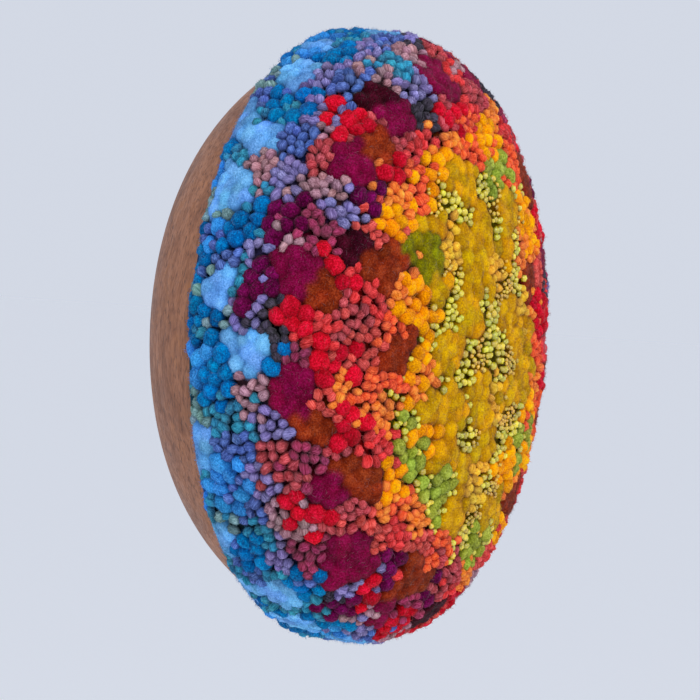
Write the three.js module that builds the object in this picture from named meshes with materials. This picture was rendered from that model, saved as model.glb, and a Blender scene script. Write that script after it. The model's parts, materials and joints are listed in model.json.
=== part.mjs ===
// Punch needle wall piece: an oval wooden bowl, hung by its flat back,
// with a filled dome of punched wool pile that crowns out of its mouth.
//
// Millimetres, +Z up. The origin is the centre of the bowl's flat back, +Y runs into
// the wall and the pile faces -Y.

import * as THREE from 'three';

// Driving dimensions of the bowl
const RIM_HALF_WIDTH = 82;
const RIM_HALF_HEIGHT = 110;
const BOWL_DEPTH = 45;
const BASE_SHARE = 0.63; // the flat back's size as a share of the rim's
const BOWL_BULGE = 1.47; // 1 is a straight side, 2 a quarter round
const WALL = 8;
const FLOOR = 9;

// Driving dimensions of the punched dome
const CROWN_RISE = 71; // from the rim's plane to the crown, without the tufts
const OVERHANG = 8.5; // how far the pile stands out past the rim
const WIDEST_RISE = 11; // the dome is widest this far in front of the rim
const DROOP = 3.5; // how far the pile hangs back over the rim
const CROWN_POWER = 2.56; // the crown's section: higher is flatter on top
const SHOULDER_POWER = 3.21; // and this one squarer at the shoulder
const SEAT_GAP = 0.45; // between the dome and the wood

// Relief of the pile
const TUFT_PITCH = 19;
const TUFT_RADIUS = 13;
const TUFT_RISE = 2.8;
const TUFT_JITTER = 0.32; // share of the pitch
const RIM_LOCKS = 64;
const LOCK_RISE = 1.4;
const LOCKS_FROM = 0.78; // the locks grow in between these shares of the section
const LOCKS_FULL = 0.9;

// Fineness of the faces
const DOME_STEPS = 2 * RIM_LOCKS;
const DOME_ROWS = 28;
const BOWL_STEPS = 64;
const SIDE_ROWS = 8;
const PLUG_ROWS = 4;
const SECTION_POINTS = 240; // for each quarter turn of a section before it is laid evenly
const PLACES = 400; // places along the section that a tuft may take

const RIM_Y = -BOWL_DEPTH;
const MEAN_RIM = (RIM_HALF_WIDTH + RIM_HALF_HEIGHT) / 2;

// A row is an oval ring: a share of the rim's oval, an offset from it, and its place along Y.
const row = (share, offset, y) => ({ share, offset, y });
const halfWidth = (r) => RIM_HALF_WIDTH * r.share + r.offset;
const halfHeight = (r) => RIM_HALF_HEIGHT * r.share + r.offset;
const meanRadius = (r) => MEAN_RIM * r.share + r.offset;

function ringPoint(r, angle) {
  return new THREE.Vector3(halfWidth(r) * Math.cos(angle), r.y, halfHeight(r) * Math.sin(angle));
}

// Lays rows again along the section they draw, at equal distances.
function evenly(rows, count) {
  const along = [0];
  for (let i = 1; i < rows.length; i += 1) {
    const step = Math.hypot(meanRadius(rows[i]) - meanRadius(rows[i - 1]), rows[i].y - rows[i - 1].y);
    along.push(along[i - 1] + step);
  }
  const length = along[along.length - 1];
  const even = [];
  let i = 1;
  for (let k = 0; k <= count; k += 1) {
    const target = (length * k) / count;
    while (i < rows.length - 1 && along[i] < target) {
      i += 1;
    }
    const t = (target - along[i - 1]) / (along[i] - along[i - 1]);
    const [a, b] = [rows[i - 1], rows[i]];
    const mix = (name) => THREE.MathUtils.lerp(a[name], b[name], t);
    even.push(row(mix('share'), mix('offset'), mix('y')));
  }
  return { rows: even, length };
}

// One closed body from a pole at the first row, through rings, to a pole at the last row.
function ovalBody(rows, steps, relief = () => 0) {
  const points = [];
  const rings = rows.slice(1, -1);
  points.push(new THREE.Vector3(0, rows[0].y - relief(0, 0), 0));
  rings.forEach((ring, index) => {
    const before = rows[index];
    const after = rows[index + 2];
    const section = new THREE.Vector2(after.y - before.y, meanRadius(before) - meanRadius(after));
    section.normalize();
    for (let k = 0; k < steps; k += 1) {
      const angle = (2 * Math.PI * k) / steps;
      const side = new THREE.Vector2(Math.cos(angle) / halfWidth(ring), Math.sin(angle) / halfHeight(ring));
      side.normalize();
      const outward = new THREE.Vector3(section.x * side.x, section.y, section.x * side.y);
      points.push(ringPoint(ring, angle).addScaledVector(outward, relief(index + 1, k)));
    }
  });
  points.push(new THREE.Vector3(0, rows[rows.length - 1].y, 0));

  const faces = [];
  const at = (ring, k) => 1 + ring * steps + (k % steps);
  const last = points.length - 1;
  for (let k = 0; k < steps; k += 1) {
    faces.push(0, at(0, k), at(0, k + 1));
    for (let ring = 0; ring < rings.length - 1; ring += 1) {
      faces.push(at(ring, k), at(ring + 1, k), at(ring + 1, k + 1));
      faces.push(at(ring, k), at(ring + 1, k + 1), at(ring, k + 1));
    }
    faces.push(last, at(rings.length - 1, k + 1), at(rings.length - 1, k));
  }
  const geometry = new THREE.BufferGeometry().setFromPoints(points);
  geometry.setIndex(faces);
  geometry.computeVertexNormals();
  return geometry;
}

// The bowl's section: its share of the rim at a depth behind the rim, from 0 to 1.
function bowlShare(depth) {
  return BASE_SHARE + (1 - BASE_SHARE) * (1 - depth ** BOWL_BULGE) ** (1 / BOWL_BULGE);
}

// Rows of one face of the bowl's wall, from the rim to a plane at backY.
function wallRows(offset, backY, count) {
  const rows = [];
  for (let i = 0; i <= count; i += 1) {
    const y = THREE.MathUtils.lerp(RIM_Y, backY, Math.sin((Math.PI / 2) * (i / count)));
    rows.push(row(bowlShare(Math.min(1, (y - RIM_Y) / BOWL_DEPTH)), offset, y));
  }
  return rows;
}

function bowlGeometry() {
  const outside = wallRows(0, 0, SIDE_ROWS).reverse();
  const inside = wallRows(-WALL, -FLOOR, SIDE_ROWS);
  return ovalBody([row(0, 0, 0), ...outside, ...inside, row(0, 0, -FLOOR)].reverse(), BOWL_STEPS);
}

// The dome's outer section, from the crown to the edge of the pile behind the rim.
function pileSection() {
  const rows = [];
  for (let i = 0; i <= SECTION_POINTS; i += 1) {
    const share = Math.sin((Math.PI / 2) * (i / SECTION_POINTS));
    const rise = (CROWN_RISE - WIDEST_RISE) * (1 - share ** CROWN_POWER) ** (1 / SHOULDER_POWER);
    rows.push(row(share, OVERHANG * share, RIM_Y - WIDEST_RISE - rise));
  }
  for (let i = 1; i <= SECTION_POINTS; i += 1) {
    const turn = (Math.PI / 2) * (i / SECTION_POINTS);
    const offset = SEAT_GAP + (OVERHANG - SEAT_GAP) * Math.cos(turn);
    rows.push(row(1, offset, RIM_Y - WIDEST_RISE + (WIDEST_RISE + DROOP) * Math.sin(turn)));
  }
  return rows;
}

// A number from 0 to 1 that looks random and is the same for the same seed.
function scatter(seed) {
  const value = Math.sin(seed * 12.9898) * 43758.5453;
  return value - Math.floor(value);
}

// Centres and sizes of the sheared tufts: staggered courses round the dome, each tuft a
// little off its place.
function tufts() {
  const fine = evenly(pileSection(), PLACES);
  const courses = Math.floor(fine.length / TUFT_PITCH);
  const found = [];
  for (let course = 0; course < courses; course += 1) {
    const centre = (course + 0.5) / courses;
    const ring = fine.rows[Math.round(PLACES * centre)];
    const count = Math.max(3, Math.round((2 * Math.PI * meanRadius(ring)) / TUFT_PITCH));
    for (let k = 0; k < count; k += 1) {
      const seed = 100 * course + k + 1;
      const turn = k + course / 2 + TUFT_JITTER * (scatter(seed) - 0.5);
      const slide = centre + (TUFT_JITTER * (scatter(seed + 0.3) - 0.5)) / courses;
      found.push({
        centre: ringPoint(fine.rows[Math.round(PLACES * slide)], (2 * Math.PI * turn) / count),
        radius: TUFT_RADIUS * (0.75 + 0.35 * scatter(seed + 0.6)),
        rise: TUFT_RISE * (0.35 + 0.65 * scatter(seed + 0.9)),
      });
    }
  }
  return found;
}

function domeGeometry() {
  const pile = evenly(pileSection(), DOME_ROWS).rows;
  const seatY = RIM_Y - SEAT_GAP;
  const lip = [row(1, SEAT_GAP, seatY), row(1, -WALL - SEAT_GAP, seatY)];
  const plug = wallRows(-WALL - SEAT_GAP, -FLOOR - SEAT_GAP, PLUG_ROWS).slice(1);
  const rows = [...pile, ...lip, ...plug, row(0, 0, -FLOOR - SEAT_GAP)];
  const allTufts = tufts();
  const relief = (index, k) => {
    if (index >= DOME_ROWS) {
      return 0;
    }
    const point = ringPoint(rows[index], (2 * Math.PI * k) / DOME_STEPS);
    let height = 0;
    allTufts.forEach((tuft) => {
      const away = point.distanceTo(tuft.centre) / tuft.radius;
      height = Math.max(height, away < 1 ? tuft.rise * (0.5 + 0.5 * Math.cos(Math.PI * away)) : 0);
    });
    const rimward = THREE.MathUtils.smoothstep(index / DOME_ROWS, LOCKS_FROM, LOCKS_FULL);
    const lock = k % 2 === 0 ? LOCK_RISE * (0.5 + 0.5 * scatter(k + 0.5)) : 0;
    return Math.max(height, rimward * lock);
  };
  return ovalBody(rows, DOME_STEPS, relief);
}

function piece(name, geometry, colour, roughness) {
  const material = new THREE.MeshStandardMaterial({ color: colour, roughness, metalness: 0 });
  const mesh = new THREE.Mesh(geometry, material);
  mesh.name = name;
  return mesh;
}

const wallPiece = new THREE.Group();
wallPiece.add(piece('wooden_bowl', bowlGeometry(), 0x8c5f46, 0.5));
wallPiece.add(piece('punched_dome', domeGeometry(), 0xb8503c, 0.95));

export default wallPiece;
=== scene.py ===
"""Punch needle wall piece: an oval wooden bowl with a dome of punched wool pile.

The bowl, the ground of the pile, its loops, tufts and gloss loops, and the fuzz of the wool are
each made by their own operator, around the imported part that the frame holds. Sizes are in
metres. The bowl's flat back is on the plane Y = 0, +Z is up and the pile faces -Y.
"""

import itertools
import json
import math
import random
from collections import namedtuple

import bpy
import numpy as np
from mathutils import Matrix, Vector, kdtree, noise

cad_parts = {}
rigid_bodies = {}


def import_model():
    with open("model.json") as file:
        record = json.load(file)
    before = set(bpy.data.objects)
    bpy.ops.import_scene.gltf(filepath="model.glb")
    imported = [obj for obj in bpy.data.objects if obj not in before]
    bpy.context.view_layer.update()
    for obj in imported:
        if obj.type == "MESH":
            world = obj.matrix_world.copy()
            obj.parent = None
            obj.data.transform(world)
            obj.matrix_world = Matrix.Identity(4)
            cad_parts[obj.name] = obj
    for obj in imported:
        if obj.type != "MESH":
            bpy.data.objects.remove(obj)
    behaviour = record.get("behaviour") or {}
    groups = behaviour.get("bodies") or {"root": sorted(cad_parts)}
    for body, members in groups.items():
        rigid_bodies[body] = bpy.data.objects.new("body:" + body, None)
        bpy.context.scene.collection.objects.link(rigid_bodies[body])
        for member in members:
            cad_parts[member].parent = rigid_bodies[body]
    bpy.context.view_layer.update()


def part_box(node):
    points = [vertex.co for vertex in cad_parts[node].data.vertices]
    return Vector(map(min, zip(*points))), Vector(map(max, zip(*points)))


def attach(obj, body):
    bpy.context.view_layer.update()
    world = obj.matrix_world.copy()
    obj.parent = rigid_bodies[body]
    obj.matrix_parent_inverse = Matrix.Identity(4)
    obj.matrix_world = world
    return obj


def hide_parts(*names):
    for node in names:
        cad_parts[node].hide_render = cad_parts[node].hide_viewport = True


bl_info = {
    "name": "Punch Needle Wall Piece",
    "version": (1, 0, 0),
    "blender": (4, 5, 0),
    "location": "3D View > Sidebar > Wall Piece",
    "description": "Builds an oval wooden bowl with a dome of punched wool pile",
    "category": "Add Mesh",
}

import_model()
BOWL_LOW, BOWL_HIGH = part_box("wooden_bowl")

MM = 0.001
RIM_Y = BOWL_LOW.y

# The view of the photograph: the camera stands to the left of the piece and a little above it
VIEW_TURN = math.radians(56)
VIEW_DROP = math.radians(3.2)
VIEW_ROLL = math.radians(2.2)
VIEW_DISTANCE = 1.4
VIEW_LENS = 184.5  # millimetres, as the sensor
VIEW_SENSOR = 36
VIEW_RIGHT = 9.6 * MM  # from the middle of the rim to the middle of the picture
VIEW_UP = -6.4 * MM


# Sizes and colours that a maker would change


class BowlSettings(bpy.types.PropertyGroup):
    """The oval wooden bowl."""

    half_width: bpy.props.FloatProperty(
        name="Half width", description="Half the rim's width", default=BOWL_HIGH.x, unit="LENGTH"
    )
    half_height: bpy.props.FloatProperty(
        name="Half height", description="Half the rim's height", default=BOWL_HIGH.z, unit="LENGTH"
    )
    depth: bpy.props.FloatProperty(
        name="Depth", description="From the flat back to the rim", default=-RIM_Y, unit="LENGTH"
    )
    wall: bpy.props.FloatProperty(
        name="Wall", description="Thickness of the wood", default=8 * MM, unit="LENGTH"
    )
    floor: bpy.props.FloatProperty(
        name="Floor", description="Thickness behind the hollow", default=9 * MM, unit="LENGTH"
    )
    base_share: bpy.props.FloatProperty(
        name="Back", description="The flat back's size as a share of the rim's", default=0.63
    )
    bulge: bpy.props.FloatProperty(
        name="Bulge", description="1 is a straight side, 2 a quarter round", default=1.47
    )
    light_wood: bpy.props.FloatVectorProperty(
        name="Light wood", description="Between the grain's streaks", subtype="COLOR",
        default=(0.405, 0.163, 0.077),
    )
    dark_wood: bpy.props.FloatVectorProperty(
        name="Dark wood", description="In the grain's streaks", subtype="COLOR",
        default=(0.18, 0.066, 0.032),
    )


class PileSettings(bpy.types.PropertyGroup):
    """The dome of punched pile."""

    overhang: bpy.props.FloatProperty(
        name="Overhang", description="How far the pile stands out past the rim",
        default=8.5 * MM, unit="LENGTH",
    )
    crown_rise: bpy.props.FloatProperty(
        name="Crown", description="From the rim to the crown", default=71 * MM, unit="LENGTH"
    )
    widest_rise: bpy.props.FloatProperty(
        name="Widest", description="The dome is widest this far in front of the rim",
        default=11 * MM, unit="LENGTH",
    )
    droop: bpy.props.FloatProperty(
        name="Droop", description="How far the pile hangs back over the rim",
        default=3.5 * MM, unit="LENGTH",
    )
    seat_gap: bpy.props.FloatProperty(
        name="Seat", description="Between the pile and the wood", default=0.45 * MM, unit="LENGTH"
    )
    depth: bpy.props.FloatProperty(
        name="Pile depth", description="From the loops' tops down to the ground cloth",
        default=3.8 * MM, unit="LENGTH",
    )
    seed: bpy.props.IntProperty(name="Seed", description="Lays the yarns out anew", default=11)


class StageSettings(bpy.types.PropertyGroup):
    """Floor and light."""

    floor_colour: bpy.props.FloatVectorProperty(
        name="Floor", description="Colour of the floor", subtype="COLOR", default=(1.0, 1.0, 1.0)
    )
    sky_colour: bpy.props.FloatVectorProperty(
        name="Surroundings", description="Colour of the soft light all round", subtype="COLOR",
        default=(0.65, 0.69, 0.78),
    )
    sky_strength: bpy.props.FloatProperty(
        name="Soft light", description="Strength of the light all round", default=1.0
    )
    key_power: bpy.props.FloatProperty(
        name="Key light", description="Power of the large light", default=22, unit="POWER"
    )


def bowl_settings():
    return bpy.context.scene.wall_bowl


def pile_settings():
    return bpy.context.scene.wall_pile


# Node graphs, written as expressions


class Wire:
    """An output of a node, with the arithmetic that takes it further."""

    def __init__(self, tree, socket=None):
        self.tree = tree
        self.socket = socket

    def add(self, kind, settings=None, inputs=None, output=0):
        """A new node's output: its settings first, then the values or wires of its inputs."""
        node = self.tree.nodes.new(kind)
        for name, value in (settings or {}).items():
            setattr(node, name, value)
        for name, value in (inputs or {}).items():
            if isinstance(value, Wire):
                self.tree.links.new(value.socket, node.inputs[name])
            else:
                node.inputs[name].default_value = value
        return Wire(self.tree, node.outputs[output]) if len(node.outputs) else node

    def maths(self, operation, *values):
        return self.add("ShaderNodeMath", {"operation": operation}, dict(enumerate(values)))

    def moved(self, other):
        """This vector and another one together."""
        return self.add("ShaderNodeVectorMath", {"operation": "ADD"}, {0: self, 1: other})

    def scaled(self, factor):
        """This vector, so many times as long."""
        values = {0: self, "Scale": factor}
        return self.add("ShaderNodeVectorMath", {"operation": "SCALE"}, values)

    def mix(self, factor, other, blend="MIX"):
        """This colour towards another one."""
        settings = {"data_type": "RGBA", "blend_type": blend, "clamp_result": True}
        return self.add("ShaderNodeMix", settings, {0: factor, 6: self, 7: other}, 2)

    def __add__(self, other):
        return self.maths("ADD", self, other)

    __radd__ = __add__

    def __mul__(self, other):
        return self.maths("MULTIPLY", self, other)

    __rmul__ = __mul__

    def __sub__(self, other):
        return self.maths("SUBTRACT", self, other)

    def __rsub__(self, other):
        return self.maths("SUBTRACT", other, self)


def new_material(name):
    """A material with nothing in it but its output, and the wire that builds its nodes."""
    material = bpy.data.materials.new(name)
    material.use_nodes = True
    material.node_tree.nodes.clear()
    return material, Wire(material.node_tree)


def finish_material(graph, fixed, varying):
    """Ends a material in one surface shader: fixed values on its sockets, varying ones wired."""
    shader = graph.add("ShaderNodeBsdfPrincipled", None, {**fixed, **varying})
    graph.add("ShaderNodeOutputMaterial", None, {"Surface": shader})


def spots(graph, place, scale, detail=2.0, roughness=0.5, distortion=0.0):
    """Soft noise from 0 to 1 at so many spots a metre."""
    values = {"Vector": place, "Scale": scale, "Detail": detail, "Roughness": roughness}
    values["Distortion"] = distortion
    return graph.add("ShaderNodeTexNoise", None, values)


def stepped(graph, value, low, high):
    """A value between low and high taken to 0 to 1, with soft ends."""
    settings = {"interpolation_type": "SMOOTHSTEP"}
    values = {"Value": value, "From Min": low, "From Max": high, "To Min": 0.0, "To Max": 1.0}
    return graph.add("ShaderNodeMapRange", settings, values)


def wood_material():
    """Oiled hardwood: grain up the bowl, warm blaze, dark figure, pores and a satin rub."""
    warm_wood = (0.47, 0.18, 0.06, 1)
    figured_wood = (0.14, 0.052, 0.03, 1)
    pore_wood = (0.075, 0.028, 0.017, 1)
    settings = bowl_settings()
    material, graph = new_material("oiled_wood")
    place = graph.add("ShaderNodeTexCoord", output="Object")
    # The streaks are drawn out up the bowl, the pores less so
    along = graph.add("ShaderNodeMapping", None, {"Vector": place, "Scale": (1.0, 1.0, 0.16)})
    short = graph.add("ShaderNodeMapping", None, {"Vector": place, "Scale": (1.0, 1.0, 0.26)})
    streaks = spots(graph, along, 260, detail=5, roughness=0.66, distortion=0.6)
    fine = spots(graph, short, 950, detail=3, roughness=0.65)
    pores = stepped(graph, spots(graph, short, 1100), 0.57, 0.66)
    clouds = spots(graph, place, 48, detail=5, roughness=0.65, distortion=1.2)
    figure = stepped(graph, clouds, 0.42, 0.64)
    glow = spots(graph, place, 90, detail=4, roughness=0.6, distortion=0.6)
    blaze = stepped(graph, glow, 0.5, 0.72)
    grain = stepped(graph, streaks * 0.55 + fine * 0.45, 0.4, 0.6)
    light = graph.add("ShaderNodeRGB")
    light.socket.default_value = (*settings.light_wood, 1)
    colour = light.mix(grain * 0.6, (*settings.dark_wood, 1))
    colour = colour.mix(blaze * 0.5, warm_wood)
    colour = colour.mix(figure * 0.42, figured_wood)
    colour = colour.mix(pores * 0.6, pore_wood)
    values = {"Strength": 0.3, "Distance": 0.3 * MM, "Height": grain * 0.5 + pores}
    bump = graph.add("ShaderNodeBump", {"invert": True}, values)
    varying = {"Base Color": colour, "Roughness": 0.46 + grain * 0.16, "Normal": bump}
    finish_material(graph, {"Specular IOR Level": 0.35}, varying)
    return material


WoolFinish = namedtuple("WoolFinish", "name fibre contrast paler bump roughness sheen gloss")

# fibre is how many spots of fibre there are in a metre, or 0 where the fibres run along a loop's
# strand; contrast is between fibres, and paler is how far the lighter fibres go towards white, a
# painted sheen of caught light
WOOL_FINISHES = {
    "ground": WoolFinish("sheared_wool", 1500, 0.5, 0.0, 0.7, 1.0, 0.05, 0.05),
    "loop": WoolFinish("looped_wool", 0, 0.8, 0.07, 0.6, 0.95, 0.05, 0.1),
    "tuft": WoolFinish("tufted_wool", 1500, 0.8, 0.0, 0.9, 1.0, 0.05, 0.05),
    "gloss": WoolFinish("gloss_yarn", 0, 0.55, 0.0, 0.25, 0.22, 0.0, 1.0),
    "fuzz": WoolFinish("wool_fuzz", 900, 0.5, 0.07, 0.0, 1.0, 0.05, 0.05),
    "curls": WoolFinish("loose_fibres", 900, 0.16, 0.22, 0.0, 1.0, 0.05, 0.1),
}


def strand_fibres(graph, place):
    """Fine lines that run along the yarn and wind with it, from 0 to 1."""
    strand = graph.add("ShaderNodeAttribute", {"attribute_name": "strand"}, output="Vector")
    unlike_its_neighbours = place.scaled(90)
    return spots(graph, strand.moved(unlike_its_neighbours), 5.0, roughness=0.7)


def wool_material(finish):
    """Yarn in the colour that each punch carries, with painted shade down in the pile and a
    painted highlight, clearer and lighter, where the wool stands highest; mottled by its fibres,
    dark yarns the most."""
    material, graph = new_material(finish.name)
    place = graph.add("ShaderNodeTexCoord", output="Object")
    tint = graph.add("ShaderNodeAttribute", {"attribute_name": "tint"})
    rise = graph.add("ShaderNodeAttribute", {"attribute_name": "rise"}, output="Fac")
    if finish.fibre:
        fibres = spots(graph, place, finish.fibre, detail=3, roughness=0.65)
    else:
        fibres = strand_fibres(graph, place)
    heather = spots(graph, place, 300)
    shade = stepped(graph, fibres * 0.72 + heather * 0.28, 0.3, 0.7)
    # painted shade: the colour darkens down in the pile, towards the ground between loops and
    # tufts, where shade falls
    depth = 0.25 + 0.85 * stepped(graph, rise, 0.1, 0.95)
    bright = graph.add("ShaderNodeRGBToBW", None, {"Color": tint})
    contrast = finish.contrast * (1.15 - 0.9 * bright)
    lit = depth * (1 - 0.6 * contrast + contrast * shade)
    level = graph.add("ShaderNodeCombineColor", None, {"Red": lit, "Green": lit, "Blue": lit})
    # painted highlight and shade: lighter fibres high in the pile are raised to a lower power, so
    # clearer and lighter, the rest to a higher one, so darker and deeper
    painted_tip_highlight = shade * stepped(graph, rise, 0.45, 1.0)
    wool = graph.add("ShaderNodeGamma", None, {"Color": tint, "Gamma": 1.2 - 0.42 * painted_tip_highlight})
    # painted sheen: the lighter fibres are mixed towards white by the finish's paler share
    colour = wool.mix(1.0, level, "MULTIPLY").mix(finish.paler * shade, (1, 1, 1, 1))
    varying = {"Base Color": colour}
    if finish.bump:
        values = {"Strength": finish.bump, "Distance": 0.4 * MM, "Height": fibres}
        varying["Normal"] = graph.add("ShaderNodeBump", None, values)
    fixed = {
        "Roughness": finish.roughness,
        "Specular IOR Level": finish.gloss,
        "Sheen Weight": finish.sheen,
        "Sheen Roughness": 0.45,
    }
    finish_material(graph, fixed, varying)
    return material


def plain_material(name, colour, roughness):
    material, graph = new_material(name)
    finish_material(graph, {"Base Color": (*colour, 1), "Roughness": roughness}, {})
    return material


# The oval forms. A row is a ring: its share of the rim's oval, an offset from that and a place
# along Y


def bowl_share(depth):
    """The bowl's section: its share of the rim at a depth behind the rim, from 0 to 1."""
    settings = bowl_settings()
    bulge = settings.bulge
    rest = np.clip(1 - np.asarray(depth) ** bulge, 0, 1) ** (1 / bulge)
    return settings.base_share + (1 - settings.base_share) * rest


def wall_rows(offset, back_y, count):
    """Rows of one face of the bowl's wall, from the rim to a plane behind it."""
    depth = bowl_settings().depth
    turn = np.linspace(0, math.pi / 2, count + 1)
    along = RIM_Y + (back_y - RIM_Y) * np.sin(turn)
    share = bowl_share(np.clip((along - RIM_Y) / depth, 0, 1))
    return np.column_stack([share, np.full(count + 1, offset), along])


def pile_rows(count):
    """The pile's outer section, from the crown to its edge behind the rim, at equal distances."""
    crown_power = 2.56  # higher is flatter on top
    shoulder_power = 3.21  # higher is squarer at the shoulder
    points = 400
    settings = pile_settings()
    share = np.sin(np.linspace(0, math.pi / 2, points))
    front = RIM_Y - settings.widest_rise
    reach = settings.crown_rise - settings.widest_rise
    rise = reach * (1 - share**crown_power) ** (1 / shoulder_power)
    crown = np.column_stack([share, settings.overhang * share, front - rise])
    turn = np.linspace(0, math.pi / 2, points)[1:]
    offset = settings.seat_gap + (settings.overhang - settings.seat_gap) * np.cos(turn)
    along = front + (settings.widest_rise + settings.droop) * np.sin(turn)
    rows = np.vstack([crown, np.column_stack([np.ones(points - 1), offset, along])])
    radius = mean_radius(rows)
    steps = np.hypot(np.diff(radius), np.diff(rows[:, 2]))
    length = np.concatenate([[0], np.cumsum(steps)])
    even = np.linspace(0, length[-1], count + 1)
    return np.column_stack([np.interp(even, length, rows[:, i]) for i in range(3)])


def mean_radius(rows):
    """The radius of each row, between its half width and its half height."""
    settings = bowl_settings()
    return rows[:, 0] * (settings.half_width + settings.half_height) / 2 + rows[:, 1]


def ring_points(rows, angles):
    """Points and outward directions of rows at angles, both as arrays of the same length."""
    settings = bowl_settings()
    width = rows[:, 0] * settings.half_width + rows[:, 1]
    height = rows[:, 0] * settings.half_height + rows[:, 1]
    points = np.column_stack([width * np.cos(angles), rows[:, 2], height * np.sin(angles)])
    tiny = 1e-9
    side = np.column_stack([np.cos(angles) / (width + tiny), np.sin(angles) / (height + tiny)])
    side /= np.linalg.norm(side, axis=1, keepdims=True)
    return points, side


def section_slopes(rows):
    """The outward direction in the section at each row: away from the axis, and along Y."""
    radius = mean_radius(rows)
    out = np.gradient(rows[:, 2])
    ahead = -np.gradient(radius)
    size = np.hypot(out, ahead)
    return np.column_stack([out / size, ahead / size])


def outward(slopes, side):
    return np.column_stack([slopes[:, 0] * side[:, 0], slopes[:, 1], slopes[:, 0] * side[:, 1]])


def oval_mesh(name, rows, steps, relief=None):
    """One closed body through the rings, with a pole at its first and its last row."""
    rings = rows[1:-1]
    slopes = section_slopes(rows)[1:-1]
    angles = np.linspace(0, 2 * math.pi, steps, endpoint=False)
    around = np.tile(angles, len(rings))
    points, side = ring_points(np.repeat(rings, steps, axis=0), around)
    directions = outward(np.repeat(slopes, steps, axis=0), side)
    if relief:  # how far each point moves outwards, from the points and their rows' numbers
        points += directions * relief(points, np.repeat(np.arange(len(rings)), steps))[:, None]
    poles = np.array([[0, rows[0, 2], 0], [0, rows[-1, 2], 0]])
    if relief:
        poles[0, 1] = points[:steps, 1].mean()
    vertices = np.vstack([poles, points])
    faces = []
    for k in range(steps):
        after = (k + 1) % steps
        faces.append((0, 2 + k, 2 + after))
        for ring in range(len(rings) - 1):
            here = 2 + ring * steps
            there = here + steps
            faces.append((here + k, there + k, there + after, here + after))
        end = 2 + (len(rings) - 1) * steps
        faces.append((1, end + after, end + k))
    mesh = bpy.data.meshes.new(name)
    mesh.from_pydata(vertices.tolist(), [], faces)
    mesh.shade_smooth()
    return mesh


def link(name, data, *materials):
    """A new object in the scene, from its data and their materials."""
    piece = bpy.data.objects.new(name, data)
    bpy.context.scene.collection.objects.link(piece)
    for material in materials:
        data.materials.append(material)
    return piece


# The yarns, and where each is punched

Yarn = namedtuple("Yarn", "name kind colour width low high share")

# width is a loop's or tuft's, in millimetres; low and high are places between the rim, 0, and
# the crown, 1; share is how often a patch there is of this yarn
YARNS = (
    Yarn("sage", "loop", "749A9A", 5.4, -0.10, 0.14, 2.0),
    Yarn("sky", "sheared", "6CAEE8", 7.6, -0.10, 0.22, 3.5),
    Yarn("cerulean", "tuft", "0070AE", 7.4, -0.10, 0.25, 3.0),
    Yarn("teal", "loop", "0088AA", 5.0, -0.10, 0.26, 3.0),
    Yarn("azure", "tuft", "3690DE", 8.0, -0.10, 0.24, 1.6),
    Yarn("periwinkle", "loop", "4262B0", 5.0, 0.06, 0.32, 2.2),
    Yarn("lilac", "loop", "7E72AE", 4.8, 0.16, 0.42, 3.6),
    Yarn("mauve", "loop", "AC7A84", 4.8, 0.18, 0.50, 3.2),
    Yarn("midnight", "loop", "20102C", 4.6, 0.22, 0.50, 0.8),
    Yarn("plum", "sheared", "7C0638", 7.6, 0.22, 0.52, 2.4),
    Yarn("damson", "tuft", "640440", 7.4, 0.22, 0.52, 1.4),
    Yarn("aubergine", "sheared", "3A0416", 7.6, 0.30, 0.54, 0.9),
    Yarn("magenta", "loop", "960848", 4.8, 0.26, 0.50, 1.2),
    Yarn("rose", "loop", "BA343E", 4.6, 0.30, 0.62, 3.6),
    Yarn("coral", "loop", "D43C30", 4.6, 0.36, 0.64, 1.6),
    Yarn("crimson", "tuft", "C80A24", 7.8, 0.36, 0.68, 3.9),
    Yarn("scarlet", "loop", "E01A1C", 5.0, 0.38, 0.70, 2.2),
    Yarn("rust", "sheared", "862C10", 7.6, 0.42, 0.70, 2.0),
    Yarn("flame", "loop", "FC5400", 4.6, 0.56, 0.78, 2.6),
    Yarn("orange", "loop", "FF8000", 4.5, 0.58, 0.82, 3.4),
    Yarn("golden", "tuft", "FFA000", 6.4, 0.60, 0.90, 2.6),
    Yarn("olive", "sheared", "7C7600", 7.6, 0.72, 0.88, 1.2),
    Yarn("leaf", "tuft", "94A034", 6.4, 0.74, 0.90, 0.4),
    Yarn("lime", "gloss", "DCCA20", 3.4, 0.74, 1.20, 4.2),
    Yarn("yellow", "loop", "E8B000", 4.4, 0.80, 1.20, 1.0),
    Yarn("mustard", "sheared", "C89400", 7.6, 0.80, 1.20, 6.5),
    Yarn("old_gold", "gloss", "DCB200", 2.2, 0.84, 1.20, 2.8),
)

Punch = namedtuple("Punch", "place out yarn width colour")

# How close the punches of each kind stand, as a share of their widths, in the order of punching
CLOSENESS = {"sheared": 0.52, "tuft": 0.68, "loop": 0.66, "gloss": 0.72}

# How wide a patch of one yarn is, in millimetres
PATCH_WIDTH = {"sheared": 10.8, "tuft": 11, "loop": 10.5, "gloss": 9}


def linear(code):
    """A colour code as linear light."""
    channels = [int(code[i : i + 2], 16) / 255 for i in (0, 2, 4)]
    return [c / 12.92 if c <= 0.04045 else ((c + 0.055) / 1.055) ** 2.4 for c in channels]


def crown_place(rows, index, angles):
    """How far in from the rim each place is: 0 at the pile's edge, 1 at the crown. The middle
    is drawn out up and down, as the bowl is."""
    upward_power = 4.2
    middle_fall = 0.58
    rim_from = 0.62
    rim_blend = 0.4
    along = 1 - index / (len(rows) - 1)
    share = rows[index, 0]
    across = (share * np.cos(angles)) ** 2
    upward = np.abs(share * np.sin(angles)) ** upward_power
    middle = 1 - middle_fall * np.sqrt(across + upward)
    rimward = np.clip((rim_from - along) / rim_blend, 0, 1)
    return middle * (1 - rimward) + along * rimward


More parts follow.
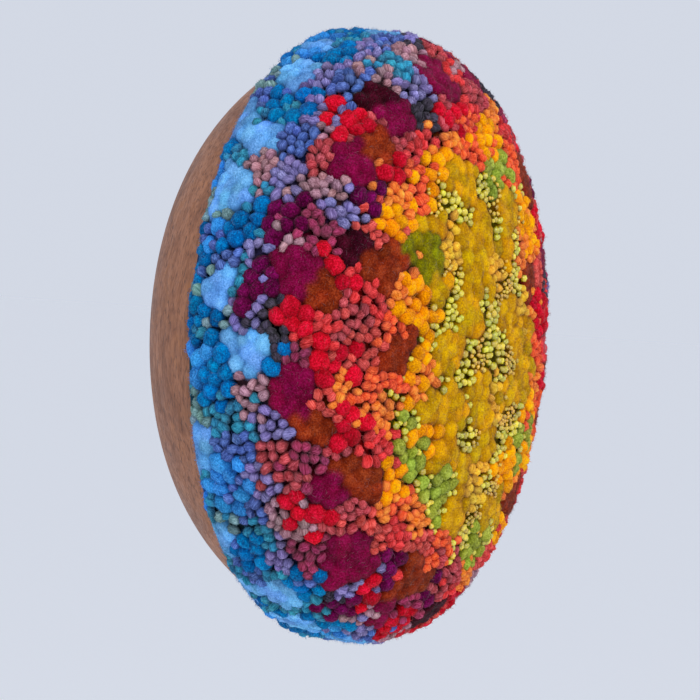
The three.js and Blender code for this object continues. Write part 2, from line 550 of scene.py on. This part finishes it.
def wobble(place, seed):
    """The wander of the colour bands, as a share of the way to the crown."""
    point = Vector(place)
    slow = noise.noise(point * 21 + Vector((seed, 0, 0)))
    quick = noise.noise(point * 52 + Vector((0, seed, 0)))
    return 0.20 * slow + 0.09 * quick


def pick_yarn(crown, rng):
    """A yarn whose band takes in the place, by their shares; less often near a band's end."""
    fade = 0.05
    shares = []
    for yarn in YARNS:
        inside = min(crown - yarn.low, yarn.high - crown)
        shares.append(yarn.share * min(1, max(0, inside / fade)))
    return rng.choices(YARNS, shares)[0] if any(shares) else YARNS[0]


def swell_at(place):
    """The slow rise and fall of the whole pile."""
    height = 1.3 * MM
    waves_a_metre = 55
    return height * noise.noise(Vector(place) * waves_a_metre)


def tree_of(places):
    """A tree that finds the nearest of some places."""
    tree = kdtree.KDTree(len(places))
    for i, place in enumerate(places):
        tree.insert(place, i)
    tree.balance()
    return tree


class Planting:
    """Punches laid over the pile, none closer than its neighbours allow. They are kept by cells,
    each at least as wide as the farthest that two punches have to keep apart."""

    def __init__(self, cell):
        self.cell = cell
        self.cells = {}
        self.punches = []

    def key(self, place):
        return tuple(int(math.floor(c / self.cell)) for c in place)

    def fits(self, place, width, closeness):
        """Whether a punch of this width has room at the place."""
        here = self.key(place)
        for step in itertools.product((-1, 0, 1), repeat=3):
            cell = tuple(a + b for a, b in zip(here, step))
            for other, other_width in self.cells.get(cell, ()):
                gap = closeness * (width + other_width) / 2
                if sum((a - b) ** 2 for a, b in zip(place, other)) < gap * gap:
                    return False
        return True

    def plant(self, punch):
        self.cells.setdefault(self.key(punch.place), []).append((punch.place, punch.width))
        self.punches.append(punch)


PLAN = {}


def punches():
    """Every punch of the pile, worked out once."""
    if "punches" not in PLAN:
        PLAN["punches"] = plan_punches()
    return PLAN["punches"]


def candidates(count, rng):
    """Places spread evenly over the pile: points, outward directions, how near each is to the
    crown, and a mixed order to take them in."""
    last_place = 0.99  # of the way from the crown to the pile's edge
    rows = pile_rows(600)
    radius = mean_radius(rows)
    area = np.cumsum(radius)
    area /= area[-1]
    spread = (np.arange(count) + 0.5) / count
    index = np.interp(spread, area, np.arange(len(rows))).astype(int)
    index = np.minimum(index, int(last_place * (len(rows) - 1)))
    golden = math.pi * (3 - math.sqrt(5))
    angles = (np.arange(count) * golden) % (2 * math.pi)
    points, side = ring_points(rows[index], angles)
    directions = outward(section_slopes(rows)[index], side)
    crown = crown_place(rows, index, angles)
    order = list(range(count))
    rng.shuffle(order)
    return points, directions, crown, order


def lay_patches(points, crown, order, rng):
    """Scatters the patches over the pile, each of one yarn. Two of a yarn keep apart, the
    commonest yarns the least."""
    tries = 12000
    closeness = 0.95
    common = 4
    seed = pile_settings().seed
    planting = Planting(20 * MM)
    apart = {yarn.name: Planting(30 * MM) for yarn in YARNS}
    for k in order[:tries]:
        place = points[k].tolist()
        yarn = pick_yarn(crown[k] + wobble(place, seed), rng)
        width = PATCH_WIDTH[yarn.kind] * MM * rng.uniform(0.75, 1.25)
        spacing = 1.25 if yarn.share > common else 1.8
        alone = apart[yarn.name].fits(place, width, spacing)
        if alone and planting.fits(place, width, closeness):
            patch = Punch(place, None, yarn, width, None)
            planting.plant(patch)
            apart[yarn.name].plant(patch)
    return planting.punches


def drift_at(point):
    """A smooth noise in three directions."""
    return Vector([noise.noise(point + Vector((17.1 * i, 5.3 * i, 0))) for i in range(3)])


def patches_at(place, patches, tree):
    """The patches round a place, the one that holds it first; the patches' edges wander."""
    point = Vector(place)
    drift = drift_at(point * 110) * 4 * MM + drift_at(point * 300) * 1.6 * MM
    found = tree.find_n(point + drift, 5)
    found.sort(key=lambda hit: hit[2] / patches[hit[1]].width)
    return [patches[i] for _, i, _ in found]


def plan_punches():
    """Fills the patches kind by kind, then what is still bare with loops of a yarn near by."""
    tries = 40000
    rng = random.Random(pile_settings().seed)
    points, directions, crown, order = candidates(tries, rng)
    patches = lay_patches(points, crown, order, rng)
    tree = tree_of([patch.place for patch in patches])
    near = {k: patches_at(points[k], patches, tree) for k in order}
    planting = Planting(8 * MM)
    for kind in CLOSENESS:
        strays = 0.14 if kind in ("loop", "tuft") else 0
        for k in order:
            yarn = near[k][1 if rng.random() < strays else 0].yarn
            if yarn.kind == kind:
                try_punch(planting, points[k], directions[k], yarn, rng)
    for k in order:
        fillers = [patch.yarn for patch in near[k] if patch.yarn.kind in ("loop", "gloss")]
        if fillers:
            try_punch(planting, points[k], directions[k], fillers[0], rng)
    return planting.punches


def try_punch(planting, place, out, yarn, rng):
    """Punches the yarn at a place if there is room, each loop in a shade of its own."""
    width = yarn.width * MM * rng.uniform(0.82, 1.2)
    place = place.tolist()
    if planting.fits(place, width, CLOSENESS[yarn.kind]):
        lift = rng.uniform(0.7, 1.2)
        colour = [min(1, c * lift * rng.uniform(0.9, 1.1)) for c in linear(yarn.colour)]
        planting.plant(Punch(place, out.tolist(), yarn, width, colour))


# Pieces made by Geometry Nodes

UPRIGHT = (math.pi / 2, 0, 0)  # the turn that stands up what is drawn flat
FULL_TURN = 6.28


def node_tree(name, sizes):
    """A geometry tree with a geometry in and out and named sizes: the tree, the wire that builds
    its nodes, and its inputs as wires."""
    tree = bpy.data.node_groups.new(name, "GeometryNodeTree")
    tree.interface.new_socket("Geometry", in_out="INPUT", socket_type="NodeSocketGeometry")
    for size, value in sizes.items():
        kind = "NodeSocketInt" if isinstance(value, int) else "NodeSocketFloat"
        socket = tree.interface.new_socket(size, in_out="INPUT", socket_type=kind)
        socket.default_value = value
    tree.interface.new_socket("Geometry", in_out="OUTPUT", socket_type="NodeSocketGeometry")
    entry = tree.nodes.new("NodeGroupInput")
    return tree, Wire(tree), {s.name: Wire(tree, s) for s in entry.outputs if s.name}


def carried(graph, name, kind="FLOAT_VECTOR"):
    """An attribute that the points carry."""
    return graph.add("GeometryNodeInputNamedAttribute", {"data_type": kind}, {"Name": name})


def stored(graph, geometry, name, kind, value):
    """The geometry with a value written on its points."""
    values = {"Geometry": geometry, "Name": name, "Value": value}
    return graph.add("GeometryNodeStoreNamedAttribute", {"data_type": kind}, values)


def on_points(graph, points, shape, turn, size):
    """The shape on every point, turned and sized, made real."""
    values = {"Points": points, "Instance": shape, "Rotation": turn, "Scale": size}
    standing = graph.add("GeometryNodeInstanceOnPoints", None, values)
    return graph.add("GeometryNodeRealizeInstances", None, {"Geometry": standing})


def swept(graph, curve, profile):
    """A closed tube along a curve."""
    values = {"Curve": curve, "Profile Curve": profile, "Fill Caps": True}
    return graph.add("GeometryNodeCurveToMesh", None, values)


def close_tree(graph, geometry, material):
    """Ends a tree: real faces, smooth, in one material."""
    smooth = graph.add("GeometryNodeSetShadeSmooth", None, {"Geometry": geometry})
    done = graph.add("GeometryNodeSetMaterial", None, {"Geometry": smooth, "Material": material})
    graph.add("NodeGroupOutput", None, {"Geometry": done})


def shake(graph, geometry, inputs):
    """Moves points a little by a noise, so that no two loops are alike."""
    place = graph.add("GeometryNodeInputPosition")
    scale = 1 / MM * inputs["Unevenness scale"]
    values = {"Vector": place, "Scale": scale, "Detail": 1.0}
    field = graph.add("ShaderNodeTexNoise", None, values, "Color")
    offset = field.moved((-0.5, -0.5, -0.5)).scaled(inputs["Unevenness"])
    return graph.add("GeometryNodeSetPosition", None, {"Geometry": geometry, "Offset": offset})


def planted(graph, points, shape, inputs):
    """The shape on every point, turned and sized as the point says; "rise" keeps its height."""
    place = graph.add("GeometryNodeInputPosition")
    height = graph.add("ShaderNodeSeparateXYZ", None, {"Vector": place}, "Z")
    shape = stored(graph, shape, "rise", "FLOAT", height + 0.5)
    angles = carried(graph, "turn")
    turn = graph.add("FunctionNodeEulerToRotation", None, {0: angles})
    size = carried(graph, "size")
    return shake(graph, on_points(graph, points, shape, turn, size), inputs)


def loop_tree(name, sizes, material, across, along):
    """Arched loops of plied yarn, one width long over all, of so many plies and steps. Arch and
    Yarn are radii as shares of that width, and Groove is 1 where the plies don't show."""
    past_half_turn = 0.5
    strand_scale = 2.5
    tree, graph, inputs = node_tree(name, sizes)
    values = {
        "Resolution": along,
        "Radius": inputs["Arch"],
        "Start Angle": -past_half_turn,
        "Sweep Angle": math.pi + 2 * past_half_turn,
    }
    arch = graph.add("GeometryNodeCurveArc", {"mode": "RADIUS"}, values)
    along_arch = graph.add("GeometryNodeSplineParameter", output="Factor")
    marked = stored(graph, arch, "along", "FLOAT", along_arch)
    values = {"Curve": marked, "Tilt": along_arch * inputs["Twist"]}
    twisted = graph.add("GeometryNodeSetCurveTilt", None, values)
    values = {"Points": across, "Outer Radius": inputs["Yarn"]}
    values["Inner Radius"] = inputs["Yarn"] * inputs["Groove"]
    plies = graph.add("GeometryNodeCurveStar", None, values)
    across_yarn = graph.add("GeometryNodeInputPosition")
    tube = swept(graph, twisted, stored(graph, plies, "across", "FLOAT_VECTOR", across_yarn))
    ahead = graph.add("ShaderNodeCombineXYZ", None, {"Z": carried(graph, "along", "FLOAT")})
    strand = carried(graph, "across").scaled(strand_scale).moved(ahead)
    tube = stored(graph, tube, "strand", "FLOAT_VECTOR", strand)
    upright = graph.add("GeometryNodeTransform", None, {"Geometry": tube, "Rotation": UPRIGHT})
    close_tree(graph, planted(graph, inputs["Geometry"], upright, inputs), material)
    return tree


def tuft_tree(name, sizes, material):
    """Round sheared tufts, a little over one width across."""
    tree, graph, inputs = node_tree(name, sizes)
    values = {"Segments": 10, "Rings": 7, "Radius": inputs["Radius"]}
    ball = graph.add("GeometryNodeMeshUVSphere", None, values)
    close_tree(graph, planted(graph, inputs["Geometry"], ball, inputs), material)
    return tree


def spike(graph, inputs):
    """A fibre that stands up."""
    values = {"Vertices": 3, "Radius Top": 0.0, "Radius Bottom": inputs["Thickness"]}
    values["Depth"] = inputs["Length"]
    return graph.add("GeometryNodeMeshCone", {"fill_type": "NGON"}, values)


def curl(graph, inputs):
    """A loose fibre that arches over its neighbours."""
    sweep = 2.0
    values = {
        "Resolution": 5,
        "Radius": inputs["Length"],
        "Start Angle": (math.pi - sweep) / 2,
        "Sweep Angle": sweep,
    }
    arc = graph.add("GeometryNodeCurveArc", {"mode": "RADIUS"}, values)
    values = {"Resolution": 3, "Radius": inputs["Thickness"]}
    profile = graph.add("GeometryNodeCurvePrimitiveCircle", {"mode": "RADIUS"}, values)
    drop = graph.add("ShaderNodeCombineXYZ", None, {"Z": inputs["Length"] * -math.cos(sweep / 2)})
    values = {"Geometry": swept(graph, arc, profile), "Rotation": UPRIGHT, "Translation": drop}
    return graph.add("GeometryNodeTransform", None, values)


def random_between(graph, low, high, seed):
    """A random vector for each point."""
    values = {"Min": low, "Max": high, "Seed": seed}
    return graph.add("FunctionNodeRandomValue", {"data_type": "FLOAT_VECTOR"}, values)


def fuzz_tree(name, sizes, material, shape):
    """Fine fibres on a surface, in the surface's own colour, where they can be seen."""
    lowest_rise = 0.3
    least_showing = 0.06
    most_lean = 0.8
    tree, graph, inputs = node_tree(name, sizes)
    scattered = tree.nodes.new("GeometryNodeDistributePointsOnFaces")
    scattered.distribute_method = "RANDOM"
    values = {0: graph.add("GeometryNodeInputNormal"), 1: carried(graph, "out")}
    facing = graph.add("ShaderNodeVectorMath", {"operation": "DOT_PRODUCT"}, values, "Value")
    showing = facing * (carried(graph, "rise", "FLOAT") - lowest_rise)
    values = {"A": showing, "B": least_showing}
    wires = {
        "Mesh": inputs["Geometry"],
        "Selection": graph.add("FunctionNodeCompare", {"operation": "GREATER_THAN"}, values),
        "Density": inputs["Fibres a square metre"],
        "Seed": inputs["Seed"],
    }
    for socket, wire in wires.items():
        tree.links.new(wire.socket, scattered.inputs[socket])
    values = {2: 0.35, 3: 1.0, "Seed": 9}
    shade = graph.add("FunctionNodeRandomValue", {"data_type": "FLOAT"}, values, 1)
    points = stored(graph, Wire(tree, scattered.outputs["Points"]), "rise", "FLOAT", shade)
    lowest = (-most_lean, -most_lean, 0.0)
    lean = random_between(graph, lowest, (most_lean, most_lean, FULL_TURN), inputs["Seed"])
    values = {
        "Rotation": Wire(tree, scattered.outputs["Rotation"]),
        "Rotate By": graph.add("FunctionNodeEulerToRotation", None, {0: lean}),
    }
    turned = graph.add("FunctionNodeRotateRotation", {"rotation_space": "LOCAL"}, values)
    size = random_between(graph, (0.7, 0.7, 0.4), (1.1, 1.1, 1.3), 5)
    close_tree(graph, on_points(graph, points, shape(graph, inputs), turned, size), material)
    return tree


def set_attribute(mesh, name, kind, values):
    """Writes a value on every vertex of a mesh."""
    attribute = mesh.attributes.new(name, kind, "POINT")
    field = {"FLOAT_COLOR": "color", "FLOAT_VECTOR": "vector", "FLOAT": "value"}[kind]
    attribute.data.foreach_set(field, np.asarray(values, float).ravel())


def point_mesh(name, chosen, rng, sink, flatness):
    """A mesh of one point for each punch, carrying its turn, size and colour. sink is how deep
    it stands in the pile and flatness how high it is, as shares of its width."""
    most_lean = 0.22
    places = []
    turns = []
    sizes = []
    tints = []
    for punch in chosen:
        out = Vector(punch.out)
        lean = Vector([rng.uniform(-1, 1) for _ in range(3)]) * most_lean
        stand = (out + lean).normalized().to_track_quat("Z", "Y").to_matrix()
        turn = (stand @ Matrix.Rotation(rng.uniform(0, 2 * math.pi), 3, "Z")).to_euler()
        depth = punch.width * sink + rng.uniform(-0.35, 0.55) * MM - swell_at(punch.place)
        places.append(Vector(punch.place) - out * depth)
        turns.append(turn[:])
        swell = rng.uniform(0.88, 1.14)
        sizes.append((punch.width * swell, punch.width / swell, punch.width * flatness))
        tints.append((*punch.colour, 1))
    mesh = bpy.data.meshes.new(name)
    mesh.from_pydata(places, [], [])
    set_attribute(mesh, "turn", "FLOAT_VECTOR", turns)
    set_attribute(mesh, "size", "FLOAT_VECTOR", sizes)
    set_attribute(mesh, "tint", "FLOAT_COLOR", tints)
    set_attribute(mesh, "out", "FLOAT_VECTOR", [punch.out for punch in chosen])
    return mesh


def grown(name, base_mesh, tree, values):
    """Runs a tree on a mesh and keeps the result as a plain mesh object of its own."""
    carrier = link(name + "_carrier", base_mesh)
    modifier = carrier.modifiers.new(name, "NODES")
    modifier.node_group = tree
    sockets = {s.name: s.identifier for s in tree.interface.items_tree if s.in_out == "INPUT"}
    for size, value in values.items():
        modifier[sockets[size]] = value
    graph = bpy.context.evaluated_depsgraph_get()
    mesh = bpy.data.meshes.new_from_object(carrier.evaluated_get(graph))
    if not mesh.polygons:
        raise RuntimeError(f"{name} has no faces")
    mesh.name = name
    carrier.modifiers.clear()
    bpy.data.objects.remove(carrier)
    return link(name, mesh)


def keep(piece):
    """Lets a finished piece ride on the part's only body."""
    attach(piece, "root")


# Operators, one for each piece or group of like pieces


class WALLPIECE_OT_bowl(bpy.types.Operator):
    """Carve the oval wooden bowl"""

    bl_idname = "wallpiece.bowl"
    bl_label = "Wooden bowl"

    steps = 144
    outer_rows = 30
    inner_rows = 16
    back_inset = 0.006  # share of the rim: a ring so far inside the back's edge keeps it crisp

    def execute(self, context):
        settings = bowl_settings()
        outside = wall_rows(0, 0, self.outer_rows)[::-1]
        inside = wall_rows(-settings.wall, -settings.floor, self.inner_rows)
        outside[:, 2] = np.minimum(outside[:, 2], 0)
        back = [[0, 0, 0], [outside[0, 0] - self.back_inset, 0, 0]]
        rows = np.vstack([back, outside, inside, [[0, 0, -settings.floor]]])[::-1]
        bowl = link("bowl", oval_mesh("bowl", rows, self.steps), wood_material())
        keep(bowl)
        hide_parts("wooden_bowl")
        return {"FINISHED"}


class WALLPIECE_OT_ground(bpy.types.Operator):
    """Stuff the ground cloth and shear its broad tufts"""

    bl_idname = "wallpiece.ground"
    bl_label = "Sheared ground"

    steps = 400
    count = 140

    def execute(self, context):
        settings = pile_settings()
        rows = pile_rows(self.count)
        tree = tree_of([punch.place for punch in punches()])
        rises = tints = None

        def relief(points, ring):
            nonlocal rises, tints
            found = [self.pile_at(point, tree, settings.depth) for point in points]
            heights, rises, tints = (np.array(values) for values in zip(*found))
            level_rows, blend_rows = 3, 6
            return heights * np.clip((self.count - level_rows - ring) / blend_rows, 0, 1)

        seat_y = RIM_Y - settings.seat_gap
        lip = [[1, settings.seat_gap, seat_y], [0.6, 0, seat_y], [0, 0, seat_y]]
        mesh = oval_mesh("sheared_ground", np.vstack([rows, lip]), self.steps, relief)
        tints = np.column_stack([tints, np.ones(len(tints))])
        poles = np.vstack([tints[: self.steps].mean(0), tints[-1]])
        set_attribute(mesh, "tint", "FLOAT_COLOR", np.vstack([poles, tints]))
        set_attribute(mesh, "rise", "FLOAT", np.concatenate([[rises[0], 0], rises]))
        set_attribute(mesh, "out", "FLOAT_VECTOR", [vertex.normal[:] for vertex in mesh.vertices])
        ground = link("sheared_ground", mesh, wool_material(WOOL_FINISHES["ground"]))
        keep(ground)
        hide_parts("punched_dome")
        return {"FINISHED"}

    @staticmethod
    def pile_at(point, tree, depth):
        """Height over the reference surface, share of the pile's depth, and colour at a point:
        domes round the sheared punches, and the ground cloth between them."""
        nearest = 9
        dome_reach = 0.66
        drop = 0.2 * MM
        blend = 0.3 * MM
        height = -depth
        found = tree.find_n(point, nearest)
        shade = np.array(punches()[found[0][1]].colour)
        blended = np.zeros(3)
        total = 0
        for _, index, away in found:
            punch = punches()[index]
            reach = away / (punch.width * dome_reach)
            if punch.yarn.kind == "sheared" and reach < 1:
                top = -drop - depth * (1 - (1 - reach * reach) ** 0.5)
                height = max(height, top)
                pull = math.exp(top / blend)
                blended += pull * np.array(punch.colour)
                total += pull
        if total:
            shade = blended / total
        rise = 1 + height / depth
        place = Vector(point)
        fine = noise.noise(place * 640) * 0.45 * MM
        broad = noise.noise(place * 250) * 0.7 * MM
        return height + swell_at(point) + (fine + broad), rise, shade


def punch_pile(name, chosen, seed, tree, sizes, sink, flatness=1.0):
    """Makes a piece of pile out of some of the punches."""
    points = point_mesh(name, chosen, random.Random(seed), sink, flatness)
    keep(grown(name, points, tree, sizes))


# The pieces of looped pile and their yarns
LOOPS = {
    "loops_blue": ("sage", "teal", "periwinkle"),
    "loops_lilac": ("lilac", "mauve", "midnight", "magenta"),
    "loops_red": ("rose", "coral", "scarlet", "flame"),
    "loops_gold": ("orange", "yellow"),
}


class WALLPIECE_OT_loops(bpy.types.Operator):
    """Punch the wool loops"""

    bl_idname = "wallpiece.loops"
    bl_label = "Wool loops"

    def execute(self, context):
        sizes = {"Arch": 0.15, "Yarn": 0.42, "Groove": 0.94, "Twist": 2.4}
        sizes |= {"Unevenness": 1.2 * MM, "Unevenness scale": 0.42}
        material = wool_material(WOOL_FINISHES["loop"])
        tree = loop_tree("wool_loops", sizes, material, 4, 6)
        for n, (name, yarns) in enumerate(LOOPS.items()):
            chosen = [p for p in punches() if p.yarn.name in yarns]
            punch_pile(name, chosen, n, tree, sizes, sink=0.42)
        return {"FINISHED"}


class WALLPIECE_OT_tufts(bpy.types.Operator):
    """Punch and shear the round tufts"""

    bl_idname = "wallpiece.tufts"
    bl_label = "Round tufts"

    def execute(self, context):
        sizes = {"Radius": 0.54, "Unevenness": 2.6 * MM, "Unevenness scale": 0.34}
        tree = tuft_tree("round_tufts", sizes, wool_material(WOOL_FINISHES["tuft"]))
        chosen = [p for p in punches() if p.yarn.kind == "tuft"]
        punch_pile("round_tufts", chosen, 21, tree, sizes, sink=0.40, flatness=0.9)
        return {"FINISHED"}


class WALLPIECE_OT_gloss(bpy.types.Operator):
    """Punch the small loops of gloss yarn"""

    bl_idname = "wallpiece.gloss"
    bl_label = "Gloss loops"

    def execute(self, context):
        sizes = {"Arch": 0.13, "Yarn": 0.38, "Groove": 0.86, "Twist": 2.0}
        sizes |= {"Unevenness": 0.15 * MM, "Unevenness scale": 0.8}
        tree = loop_tree("gloss_loops", sizes, wool_material(WOOL_FINISHES["gloss"]), 3, 6)
        chosen = [p for p in punches() if p.yarn.kind == "gloss"]
        punch_pile("gloss_loops", chosen, 31, tree, sizes, sink=0.36)
        return {"FINISHED"}


Fibres = namedtuple("Fibres", "place source fuzz curls")

# How many fibres a square metre each piece of wool has, and their length in millimetres; for the
# curls that is their radius
FIBRES = (
    Fibres("ground", "sheared_ground", (0.8e6, 1.35), (4.8e4, 1.4)),
    Fibres("tufts", "round_tufts", (0.46e6, 1.5), (3.8e4, 1.7)),
    Fibres("blue_loops", "loops_blue", (0.95e6, 1.1), (4.0e4, 1.6)),
    Fibres("lilac_loops", "loops_lilac", (0.68e6, 1.1), (3.4e4, 1.6)),
    Fibres("red_loops", "loops_red", (0.85e6, 1.1), (3.4e4, 1.6)),
    Fibres("gold_loops", "loops_gold", (0.8e6, 1.0), (3.0e4, 1.4)),
)


def raise_fibres(kind, shape, thickness):
    """Raises fibres of one kind on every piece of wool."""
    sizes = {"Fibres a square metre": 0.0, "Length": 0.0, "Thickness": thickness, "Seed": 0}
    finish = WOOL_FINISHES[kind]
    tree = fuzz_tree(finish.name, sizes, wool_material(finish), shape)
    for n, fibres in enumerate(FIBRES):
        density, length = getattr(fibres, kind)
        sizes |= {"Fibres a square metre": density, "Length": length * MM, "Seed": n}
        base = bpy.data.objects[fibres.source].data.copy()
        keep(grown(f"{kind}_on_{fibres.place}", base, tree, sizes))


class WALLPIECE_OT_fuzz(bpy.types.Operator):
    """Raise the wool's fine fibres"""

    bl_idname = "wallpiece.fuzz"
    bl_label = "Wool fuzz"

    def execute(self, context):
        raise_fibres("fuzz", spike, 0.075 * MM)
        return {"FINISHED"}


class WALLPIECE_OT_curls(bpy.types.Operator):
    """Lay loose curling fibres over the wool"""

    bl_idname = "wallpiece.curls"
    bl_label = "Loose fibres"

    def execute(self, context):
        raise_fibres("curls", curl, 0.04 * MM)
        return {"FINISHED"}


class WALLPIECE_OT_stage(bpy.types.Operator):
    """Lay the floor, light the piece and set the camera"""

    bl_idname = "wallpiece.stage"
    bl_label = "Stage"

    def execute(self, context):
        scene = context.scene
        settings = scene.wall_stage
        self.lay_floor(settings)
        self.light(scene, settings)
        self.look(scene)
        return {"FINISHED"}

    @staticmethod
    def lay_floor(settings):
        reach = 14
        drop = -0.8
        turns = ((-1, -1), (1, -1), (1, 1), (-1, 1))
        corners = [(x * reach, y * reach, drop) for x, y in turns]
        mesh = bpy.data.meshes.new("floor")
        mesh.from_pydata(corners, [], [(0, 1, 2, 3)])
        link("floor", mesh, plain_material("pale_floor", settings.floor_colour, 0.9))

    @staticmethod
    def light(scene, settings):
        world = bpy.data.worlds.new("soft_surroundings")
        world.use_nodes = True
        background = world.node_tree.nodes["Background"]
        background.inputs["Color"].default_value = (*settings.sky_colour, 1)
        background.inputs["Strength"].default_value = settings.sky_strength
        scene.world = world
        scene.view_settings.view_transform = "Standard"
        lamps = (  # name, place, size and power
            ("key", (-1.1, -1.5, 1.3), 1.4, settings.key_power),
            ("fill", (1.6, -1.2, 0.5), 1.6, settings.key_power * 0.3),
        )
        for name, place, size, power in lamps:
            data = bpy.data.lights.new(name, "AREA")
            data.size = size
            data.energy = power
            lamp = link(name, data)
            lamp.location = place
            lamp.rotation_euler = (-Vector(place)).to_track_quat("-Z", "Y").to_euler()

    @staticmethod
    def look(scene):
        sine, cosine = math.sin(VIEW_TURN), math.cos(VIEW_TURN)
        flat = math.cos(VIEW_DROP)
        ahead = Vector((sine * flat, cosine * flat, -math.sin(VIEW_DROP)))
        level = Vector((cosine, -sine, 0))
        above = level.cross(ahead)
        right = math.cos(VIEW_ROLL) * level + math.sin(VIEW_ROLL) * above
        up = math.cos(VIEW_ROLL) * above - math.sin(VIEW_ROLL) * level
        target = Vector((0, RIM_Y, 0)) + right * VIEW_RIGHT + up * VIEW_UP
        data = bpy.data.cameras.new("photo_view")
        data.lens = VIEW_LENS
        data.sensor_width = VIEW_SENSOR
        data.clip_end = 60
        camera = link("photo_view", data)
        turn = Matrix((right, up, -ahead)).transposed().to_4x4()
        camera.matrix_world = Matrix.Translation(target - ahead * VIEW_DISTANCE) @ turn
        scene.camera = camera


class WALLPIECE_PT_panel(bpy.types.Panel):
    """Lists the pieces and their sizes"""

    bl_label = "Punch needle wall piece"
    bl_idname = "WALLPIECE_PT_panel"
    bl_space_type = "VIEW_3D"
    bl_region_type = "UI"
    bl_category = "Wall Piece"

    def draw(self, context):
        for operator in OPERATORS:
            self.layout.operator(operator.bl_idname)
        for settings in SETTINGS:
            group = getattr(context.scene, settings)
            box = self.layout.box()
            for name in group.bl_rna.properties.keys():
                if name not in ("rna_type", "name"):
                    box.prop(group, name)


SETTINGS = {"wall_bowl": BowlSettings, "wall_pile": PileSettings, "wall_stage": StageSettings}
OPERATORS = (
    WALLPIECE_OT_bowl,
    WALLPIECE_OT_ground,
    WALLPIECE_OT_loops,
    WALLPIECE_OT_tufts,
    WALLPIECE_OT_gloss,
    WALLPIECE_OT_fuzz,
    WALLPIECE_OT_curls,
    WALLPIECE_OT_stage,
)


def register():
    for kind in (*SETTINGS.values(), *OPERATORS, WALLPIECE_PT_panel):
        bpy.utils.register_class(kind)
    for name, kind in SETTINGS.items():
        setattr(bpy.types.Scene, name, bpy.props.PointerProperty(type=kind))


def unregister():
    for name in SETTINGS:
        delattr(bpy.types.Scene, name)
    for kind in (WALLPIECE_PT_panel, *reversed(OPERATORS), *SETTINGS.values()):
        bpy.utils.unregister_class(kind)


def main():
    register()
    bpy.ops.wallpiece.bowl()
    bpy.ops.wallpiece.ground()
    bpy.ops.wallpiece.loops()
    bpy.ops.wallpiece.tufts()
    bpy.ops.wallpiece.gloss()
    bpy.ops.wallpiece.fuzz()
    bpy.ops.wallpiece.curls()
    bpy.ops.wallpiece.stage()


if __name__ == "__main__":
    main()
